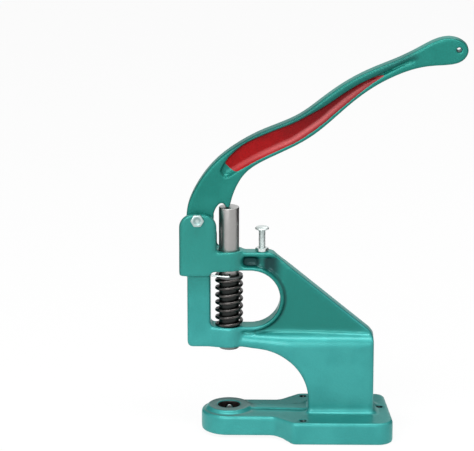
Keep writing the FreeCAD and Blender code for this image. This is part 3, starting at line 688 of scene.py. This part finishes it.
def lever_skin():
    """The lever's solid with its panel's floor shaped and its edges eased."""
    voxels = ("REMESH", {"mode": "VOXEL", "voxel_size": lever_voxel})
    ease = ("SMOOTH", {"factor": 0.5, "iterations": 6})
    mesh = after_modifiers(bare_mesh("hand_lever"), "lever_blank", [voxels])
    side, spots = side_points(mesh)
    depth, facing = inside_distance(side, smooth_loop(panel_rim))
    inside = -depth
    lower = np.clip(facing * 0.5 + 0.5, 0, 1)
    radius = upper_round + (lower_round - upper_round) * lower
    short = radius - np.clip(inside, 0, radius)
    rise = radius - np.sqrt(np.maximum(radius ** 2 - short ** 2, 0))
    floor_depth = np.interp(side[:, 0], (100, 150), (panel_floor, panel_floor_at_grip))
    wanted = np.minimum(floor_depth + rise, rim_half)
    across = np.abs(spots[:, 1])
    lift = (inside > 0.0) & (across < wanted) & (across > 1.0)
    spots[:, 1] = np.where(lift, np.sign(spots[:, 1]) * wanted, spots[:, 1])
    mesh.vertices.foreach_set("co", (spots * MM).astype(np.float32).ravel())
    mesh.update()
    mesh = after_modifiers(mesh, "lever_skin", [voxels, ease])
    print("lifted points:", int(lift.sum()))
    return mesh


lever_mesh = drill(lever_skin(), [
    ((hang_x, -9, hang_z), (hang_x, 9, hang_z), hang_hole_radius),
    ((pivot_x, -9, pivot_z), (pivot_x, 9, pivot_z), pivot_bore_radius),
])


def carry(mesh, name, numbers):
    """Give every point of a mesh a number that its finish can read."""
    attribute = mesh.attributes.new(name, "FLOAT", "POINT")
    attribute.data.foreach_set("value", numbers.astype(np.float32))


side, spots = side_points(lever_mesh)
red_distance, facing = inside_distance(side, smooth_loop(red_rim))
outer_skin = np.abs(spots[:, 1]) > 6.7
carry(lever_mesh, "red_edge", np.where(outer_skin, np.maximum(red_distance, 1.0), red_distance))
wall_distance, facing = inside_distance(side, smooth_loop(panel_rim))
# Painted shade under the panel's upper wall, reaching out over the rim above it.
under_upper_wall = np.clip(facing * np.sign(wall_distance) * 2 - 0.4, 0, 1)
under_upper_wall *= np.interp(side[:, 0], (-8, 6), (0, 1))
shade_width = np.interp(side[:, 0], (100, 130), (2.2, 0.8))
in_panel = np.clip(1.25 + (wall_distance - 0.7) / shade_width, 0, 1)
on_rim = np.clip(1.15 - (wall_distance - 0.7) / 5.5, 0, 1)
carry(lever_mesh, "wall_shade", under_upper_wall * np.where(wall_distance < 0.7, in_panel, on_rim))
# Painted highlight along the foot of the lower wall.
over_lower_wall = np.clip(facing * 2 - 0.4, 0, 1)
lower_wall_highlight = 0.75 * over_lower_wall * np.clip(1 - np.abs(wall_distance + 2.8) / 2.6, 0, 1)
carry(lever_mesh, "lower_wall_highlight", np.where(outer_skin, 0, lower_wall_highlight))
# Painted shade in the hanging hole.
from_hole = np.hypot(side[:, 0] - hang_x, side[:, 1] - hang_z - bench_drop)
carry(lever_mesh, "hole_shade", np.clip((2.7 - from_hole) / 0.5, 0, 1))
place("enamelled_lever", lever_mesh, "lever", lever_enamel, ["hand_lever"], 50)

# %% [markdown]
# ## Turned parts
# The ram and the round parts of screws are turned on a lathe, so here a profile is spun about an
# axis: a chain of points, each a radius and a height, goes once round, and the seam is merged.

# %% A lathe
def turned(profile, steps, centre=(0, 0, 0), along=(0, 0, 1)):
    """Spin a closed profile of (radius, height) pairs, in mm, about an axis through centre."""
    shape = bmesh.new()
    chain = [shape.verts.new((radius * MM, 0, height * MM)) for radius, height in profile]
    links = [shape.edges.new(pair) for pair in zip(chain, chain[1:])]
    bmesh.ops.spin(
        shape, geom=chain + links, cent=(0, 0, 0), axis=(0, 0, 1), angle=math.tau,
        steps=steps, use_merge=True, use_duplicate=False,
    )
    bmesh.ops.remove_doubles(shape, verts=shape.verts, dist=1e-7)
    turn = Vector(along).to_track_quat("Z", "Y").to_matrix().to_4x4()
    shape.transform(Matrix.Translation(Vector(centre) * MM) @ turn)
    return shape


def rounded_step(radius, height, size, up):
    """The points of a quarter round at a rim, from the flat to the side when up is 1."""
    points = []
    for step in range(5):
        angle = math.pi / 2 * step / 4
        out, rise = size * math.sin(angle), size * math.cos(angle) - size
        points.append((radius - size + out, height + up * rise))
    return points


print("lathe ready")

# %% [markdown]
# ## The ram
# The ram is a ground bar, broken at both rims. The die's socket up its lower end is part of its
# profile. The holes for the clamping screw and for the split pin are drilled across it.

# %% Turn the ram
ram_low, ram_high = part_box("ram")
bottom, top = ram_low.z / MM, ram_high.z / MM
ram_radius = 8.75
socket_radius = 4.0
socket_top = bottom + 22.0
rim_break = 0.4
rim_round = 0.8
screw_height = bottom + 9
profile = [(0.0, socket_top), (socket_radius, socket_top)]
profile += [(socket_radius, bottom + rim_break), (socket_radius + rim_break, bottom)]
profile += rounded_step(ram_radius, bottom, rim_round, -1)
for middle in (screw_height, pin_height):
    profile += [(ram_radius, middle - 3.5), (ram_radius, middle + 3.5)]
profile += [(ram_radius, top - 20)]
profile += reversed(rounded_step(ram_radius, top, rim_round, 1))
profile += [(0.0, top)]
ram_mesh = drill(mesh_from(turned(profile, 128), "steel_ram"), [
    ((0, -10, screw_height), (0, 0, screw_height), clamp_screw_radius),
    ((0, -10, pin_height), (0, 10, pin_height), pin_hole_radius),
])
place("steel_ram", ram_mesh, "ram", ground_steel, ["ram"], 40)

# %% [markdown]
# ## The return spring
# A round section goes round the ram's axis and climbs, which is what spin does when it is also
# given a step along the axis. Real springs of this kind have their ends closed and ground flat,
# so the coil runs a little long at both ends and two planes cut it square.

# %% Wind the spring
spring_low, spring_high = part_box("return_spring")
wire = 3.0
coil_width = 24.4
mean_radius = (coil_width - wire) / 2
turns_per_height = 6.6 / 43.64
steps_per_turn = 48


def wound_spring():
    """The coil, wound a little long and cut square at both ends."""
    low, high = spring_low.z / MM, spring_high.z / MM
    overrun = wire
    height = high - low + 2 * overrun
    turns = height * turns_per_height
    steps = int(turns * steps_per_turn)
    shape = bmesh.new()
    start = Matrix.Translation((mean_radius * MM, 0, (low - overrun) * MM))
    circle = bmesh.ops.create_circle(
        shape, segments=20, radius=wire / 2 * MM, cap_ends=False,
        matrix=start @ Matrix.Rotation(math.pi / 2, 4, "X"),
    )
    ring = circle["verts"] + list({edge for vert in circle["verts"] for edge in vert.link_edges})
    bmesh.ops.spin(
        shape, geom=ring, cent=(0, 0, 0), axis=(0, 0, 1), angle=math.tau * turns, steps=steps,
        dvec=(0, 0, height / steps * MM), use_duplicate=False,
    )
    bmesh.ops.remove_doubles(shape, verts=shape.verts, dist=1e-7)
    for level, up in ((low, -1), (high, 1)):
        everything = shape.verts[:] + shape.edges[:] + shape.faces[:]
        cut = bmesh.ops.bisect_plane(
            shape, geom=everything, plane_co=(0, 0, level * MM), plane_no=(0, 0, up), clear_outer=True,
        )
        rim = [item for item in cut["geom_cut"] if isinstance(item, bmesh.types.BMEdge)]
        bmesh.ops.holes_fill(shape, edges=[edge for edge in rim if edge.is_boundary], sides=0)
    return shape


spring_mesh = mesh_from(wound_spring(), "black_spring")
spring = place("black_spring", spring_mesh, "frame", spring_black, ["return_spring"], 40)
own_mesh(spring)

# %% [markdown]
# ## The split pin
# One length of half-round wire is folded on itself: two legs side by side go through the ram, the
# eye stays behind it, and the ends are bent to the left in front. A curve with a round bevel
# follows that route, and its closed ends are the cut ends of the wire.

# %% Bend the split pin
pin_route = [
    (-15.6, -10.7, 0.9), (-8.0, -11.53, 0.46), (-2.6, -12.1, 0.15), (-0.2, -12.25, 0.02),
    (0.85, -10.9, 0), (0.85, 0, 0), (0.85, 8.6, 0), (1.3, 10.2, 0), (2.4, 12.0, 0), (2.1, 14.2, 0),
    (0, 15.6, 0), (-2.1, 14.2, 0), (-2.4, 12.0, 0), (-1.3, 10.2, 0), (-0.85, 8.6, 0), (-0.85, 0, 0),
    (-0.85, -8.0, 0), (-1.6, -9.95, 0.02), (-3.6, -10.3, 0.13), (-8.0, -9.8, 0.37), (-12.0, -9.35, 0.60),
]


def bent_wire(name, route, lift, wire_radius):
    """Round wire along a route, raised by lift, in mm."""
    curve = bpy.data.curves.new(name, "CURVE")
    curve.dimensions = "3D"
    curve.bevel_depth = wire_radius * MM
    curve.bevel_resolution = 5
    curve.resolution_u = 8
    curve.use_fill_caps = True
    line = curve.splines.new("NURBS")
    line.points.add(len(route) - 1)
    for point, (x, y, z) in zip(line.points, route):
        point.co = (x * MM, y * MM, (z + lift) * MM, 1)
    line.order_u = 3
    line.use_endpoint_u = True
    holder = bpy.data.objects.new(name, curve)
    bpy.context.scene.collection.objects.link(holder)
    graph = bpy.context.evaluated_depsgraph_get()
    mesh = bpy.data.meshes.new_from_object(holder.evaluated_get(graph))
    bpy.data.objects.remove(holder)
    return mesh


pin_mesh = bent_wire("split_pin", pin_route, pin_height, 0.78)
place("split_pin", pin_mesh, "ram", bright_zinc, ["cotter_pin"], 50)

# %% [markdown]
# ## Threads
# A thread is one sharp profile that goes round and climbs by one pitch each turn. Spinning a
# zigzag once round with a climb of one pitch makes a whole threaded rod, with no end to the
# groove, which is enough for a screw that goes into a hole at one end and a head at the other.

# %% A threaded rod
def threaded_rod(low, high, radius, centre, along):
    """A screw thread of 1 mm pitch between two heights, in mm, closed by flat ends."""
    pitch, steps = 1.0, 48
    depth = 0.54 * pitch
    shape = bmesh.new()
    start = low - pitch
    count = int((high - start) / pitch) + 1
    zigzag = []
    for turn in range(count + 1):
        base = start + turn * pitch
        zigzag.append((radius - depth, base))
        zigzag.append((radius - depth, base + 0.12 * pitch))
        zigzag.append((radius, base + 0.46 * pitch))
        zigzag.append((radius, base + 0.60 * pitch))
    chain = [shape.verts.new((r * MM, 0, z * MM)) for r, z in zigzag]
    links = [shape.edges.new(pair) for pair in zip(chain, chain[1:])]
    bmesh.ops.spin(
        shape, geom=chain + links, cent=(0, 0, 0), axis=(0, 0, 1), angle=math.tau, steps=steps,
        dvec=(0, 0, pitch / steps * MM), use_duplicate=False,
    )
    bmesh.ops.remove_doubles(shape, verts=shape.verts, dist=1e-7)
    for level, up in ((low, -1), (high, 1)):
        everything = shape.verts[:] + shape.edges[:] + shape.faces[:]
        bmesh.ops.bisect_plane(
            shape, geom=everything, plane_co=(0, 0, level * MM), plane_no=(0, 0, up), clear_outer=True,
        )
        open_edges = [edge for edge in shape.edges if edge.is_boundary]
        rim = [edge for edge in open_edges if all(abs(v.co.z - level * MM) < 1e-7 for v in edge.verts)]
        bmesh.ops.holes_fill(shape, edges=rim, sides=0)
    turn = Vector(along).to_track_quat("Z", "Y").to_matrix().to_4x4()
    shape.transform(Matrix.Translation(Vector(centre) * MM) @ turn)
    return shape


def join(shapes, name):
    """Put several closed shapes into one mesh."""
    whole = bmesh.new()
    for shape in shapes:
        part = mesh_from(shape, name + "_part")
        whole.from_mesh(part)
        bpy.data.meshes.remove(part)
    mesh = bpy.data.meshes.new(name)
    whole.to_mesh(mesh)
    whole.free()
    return mesh


print("thread maker ready")

# %% [markdown]
# ## The depth stop screw
# This screw has a thin, wide, gently domed head, turned from a profile. Its thread is seen between
# the head and the locknut.

# %% Make the depth stop screw
stop_low, stop_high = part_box("depth_stop_screw")
head_top = stop_high.z / MM
head_bottom = head_top - 2.7
screw_end = stop_low.z / MM
stop_rim = [(5.2, 0), (5.9, 0.35), (6.1, 0.8), (6.0, 1.25), (5.2, 1.95), (3.8, 2.45)]
head_profile = [(0.0, head_bottom)]
head_profile += [(radius, head_bottom + rise) for radius, rise in stop_rim]
head_profile += [(2.0, head_top), (0.0, head_top)]
head = turned(head_profile, 64, centre=(stop_x, 0, 0))
shank = threaded_rod(screw_end, head_bottom + 0.2, 2.97, (stop_x, 0, 0), (0, 0, 1))
stop_mesh = join([head, shank], "stop_screw")
place("stop_screw", stop_mesh, "depth_stop", bright_zinc, ["depth_stop_screw"], 35)

# %% [markdown]
# ## The pivot bolt
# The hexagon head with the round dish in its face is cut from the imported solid, which has its true
# shape, and its edges are broken a little. The shank is turned, and its last 16 mm are threaded.

# %% Make the pivot bolt
head_face = -14.32
bolt_end = head_face + 40.0
thread_start = bolt_end - 16
bolt_centre = (pivot_x, 0, pivot_z)
through = (0, 1, 0)


def bolt_head():
    """The solid bolt without its shank."""
    shape = solid_copy("pivot_bolt")
    shank_points = [point for point in shape.verts if point.co.y > (head_face + 0.3) * MM]
    bmesh.ops.delete(shape, geom=shank_points, context="VERTS")
    bmesh.ops.holes_fill(shape, edges=[edge for edge in shape.edges if edge.is_boundary], sides=0)
    return shape


shank_profile = [
    (0.0, head_face - 0.1), (bolt_radius, head_face - 0.1), (bolt_radius, thread_start), (0.0, thread_start),
]
shank = turned(shank_profile, 48, bolt_centre, through)
thread = threaded_rod(thread_start - 0.1, bolt_end, bolt_radius, bolt_centre, through)
bolt_mesh = join([bolt_head(), shank, thread], "zinc_pivot_bolt")
broken_edges = {"width": 0.18 * MM, "segments": 2, "limit_method": "ANGLE", "angle_limit": math.radians(38)}
bolt_mesh = after_modifiers(bolt_mesh, "zinc_pivot_bolt", [("BEVEL", broken_edges)])
place("zinc_pivot_bolt", bolt_mesh, "frame", bolt_zinc, ["pivot_bolt"], 35)

# %% [markdown]
# ## The parts that keep their solids
# The washers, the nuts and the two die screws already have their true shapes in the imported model.
# Each only gets its finish.

# %% Finish the small solids
small_finishes = {
    "pivot_lock_washer": zinc_plate,
    "pivot_nut": zinc_plate,
    "spring_washer": dull_zinc,
    "upper_die_screw": black_oxide,
    "lower_die_screw": bright_zinc,
    "depth_stop_locknut": bright_zinc,
}
for node, finish in small_finishes.items():
    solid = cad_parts[node]
    for material_slot in solid.material_slots:
        material_slot.material = finish
    if not solid.material_slots:
        solid.data.materials.append(finish)
    print(node, "finish", finish.name)

# %% [markdown]
# ## Floor and background
# The press stands on a plain white table. The table's colour does the work: what the camera sees
# of it is nearly white, with a faint shadow left, and no light is added to the object for that.

# %% Lay the floor
def seen_directly(tree, rays):
    """1 for the rays that show the background: straight, through glass, or off a shiny face."""
    total = rays.outputs["Is Camera Ray"]
    for kind in ("Is Glossy Ray", "Is Transmission Ray"):
        more = tree.nodes.new("ShaderNodeMath")
        more.operation = "MAXIMUM"
        tree.links.new(total, more.inputs[0])
        tree.links.new(rays.outputs[kind], more.inputs[1])
        total = more.outputs[0]
    return total


def table_white():
    """White that the camera sees almost pure, and that the object's shadow still falls on."""
    finish, tree, shader = new_finish("table_white")
    shader.inputs["Base Color"].default_value = (0.86, 0.86, 0.86, 1)
    shader.inputs["Roughness"].default_value = 0.85
    glow = tree.nodes.new("ShaderNodeEmission")
    glow.inputs["Color"].default_value = (1, 1, 1, 1)
    glow.inputs["Strength"].default_value = 1.02
    rays = tree.nodes.new("ShaderNodeLightPath")
    share = tree.nodes.new("ShaderNodeMath")
    share.operation = "MULTIPLY"
    share.inputs[1].default_value = 0.90
    tree.links.new(seen_directly(tree, rays), share.inputs[0])
    mix = tree.nodes.new("ShaderNodeMixShader")
    tree.links.new(share.outputs[0], mix.inputs[0])
    tree.links.new(shader.outputs[0], mix.inputs[1])
    tree.links.new(glow.outputs[0], mix.inputs[2])
    tree.links.new(mix.outputs[0], tree.nodes["Material Output"].inputs["Surface"])
    return finish


floor_gap = 0.02 * MM
floor_level = cad_box[0].z - floor_gap
floor_shape = bmesh.new()
floor_spot = Matrix.Translation((0, 0, floor_level))
bmesh.ops.create_grid(floor_shape, x_segments=1, y_segments=1, size=9.0, matrix=floor_spot)
floor_mesh = bpy.data.meshes.new("table_top")
floor_shape.to_mesh(floor_mesh)
floor_shape.free()
floor_mesh.materials.append(table_white())
floor = bpy.data.objects.new("table_top", floor_mesh)
bpy.context.scene.collection.objects.link(floor)
print("floor at", round(floor_level / MM, 2), "mm")

# %% [markdown]
# ## Light
# The room is bright in front and on the left and dim behind on the right, and three soft lamps
# stand in it. What the camera and the shiny faces see of the room is plain white.

# %% Light the room
world = bpy.data.worlds.new("studio")
bpy.context.scene.world = world
world.use_nodes = True
room = world.node_tree
background = room.nodes["Background"]
rays = room.nodes.new("ShaderNodeLightPath")
direction = room.nodes.new("ShaderNodeTexCoord")
parts = room.nodes.new("ShaderNodeSeparateXYZ")
room.links.new(direction.outputs["Generated"], parts.inputs["Vector"])
behind = room.nodes.new("ShaderNodeMapRange")
behind.interpolation_type = "SMOOTHSTEP"
behind.inputs["From Min"].default_value = -0.45
behind.inputs["From Max"].default_value = 0.45
behind.inputs["To Min"].default_value = 0.60
behind.inputs["To Max"].default_value = 0.12
slant = times_plus(room, parts.outputs["X"], 0.7, parts.outputs["Y"])
room.links.new(slant, behind.inputs["Value"])
level = room.nodes.new("ShaderNodeMix")
level.data_type = "FLOAT"
room.links.new(seen_directly(room, rays), level.inputs["Factor"])
room.links.new(behind.outputs["Result"], level.inputs[2])
level.inputs[3].default_value = 1.0
background.inputs["Color"].default_value = (1, 1, 1, 1)
room.links.new(level.outputs[0], background.inputs["Strength"])


def soft_lamp(name, spot, aim, width, height, watts):
    """A flat lamp at one spot that faces another, its sides in metres."""
    light = bpy.data.lights.new(name, "AREA")
    light.shape = "RECTANGLE"
    light.size = width
    light.size_y = height
    light.energy = watts
    lamp = bpy.data.objects.new(name, light)
    bpy.context.scene.collection.objects.link(lamp)
    lamp.location = spot
    lamp.rotation_euler = (Vector(aim) - Vector(spot)).to_track_quat("-Z", "Y").to_euler()
    print(name, watts, "W")
    return lamp


soft_lamp("front_softbox", (-0.55, -1.7, 0.75), (0.05, 0, 0.14), 1.2, 0.9, 16)
soft_lamp("overhead_softbox", (0.05, -0.40, 1.30), (0.05, 0, 0.12), 1.4, 0.35, 11)
soft_lamp("back_fill", (0.8, 0.9, 1.4), (0.05, 0, 0.14), 1.2, 0.9, 5)

# %% [markdown]
# ## Dark cards
# In a white room shiny metal looks flat. Dark cards stand to the right, to the left and low behind,
# so that rounded edges and the ram get the dark bands they need and the base's top keeps its
# colour. The camera doesn't see the cards, and they throw no shadow.

# %% Stand the dark cards
def dark_card(name, start, end, height):
    """An upright card from one spot on the floor to another, in metres."""
    shape = bmesh.new()
    card_top = floor_level + height
    corners = [(*start, floor_level), (*end, floor_level), (*end, card_top), (*start, card_top)]
    shape.faces.new([shape.verts.new(corner) for corner in corners])
    mesh = bpy.data.meshes.new(name)
    shape.to_mesh(mesh)
    shape.free()
    finish, tree, shader = new_finish(name)
    shader.inputs["Base Color"].default_value = (0.02, 0.02, 0.02, 1)
    shader.inputs["Roughness"].default_value = 0.9
    mesh.materials.append(finish)
    card = bpy.data.objects.new(name, mesh)
    bpy.context.scene.collection.objects.link(card)
    card.visible_camera = False
    card.visible_shadow = False
    card.visible_diffuse = False
    print(name, "from", start, "to", end)
    return card


dark_card("right_card", (0.27, 0.00), (0.33, 0.60), 0.60)
dark_card("left_card", (-0.27, 0.02), (-0.30, 0.60), 0.60)
dark_card("back_card", (-0.14, 0.60), (0.175, 0.60), 0.23)
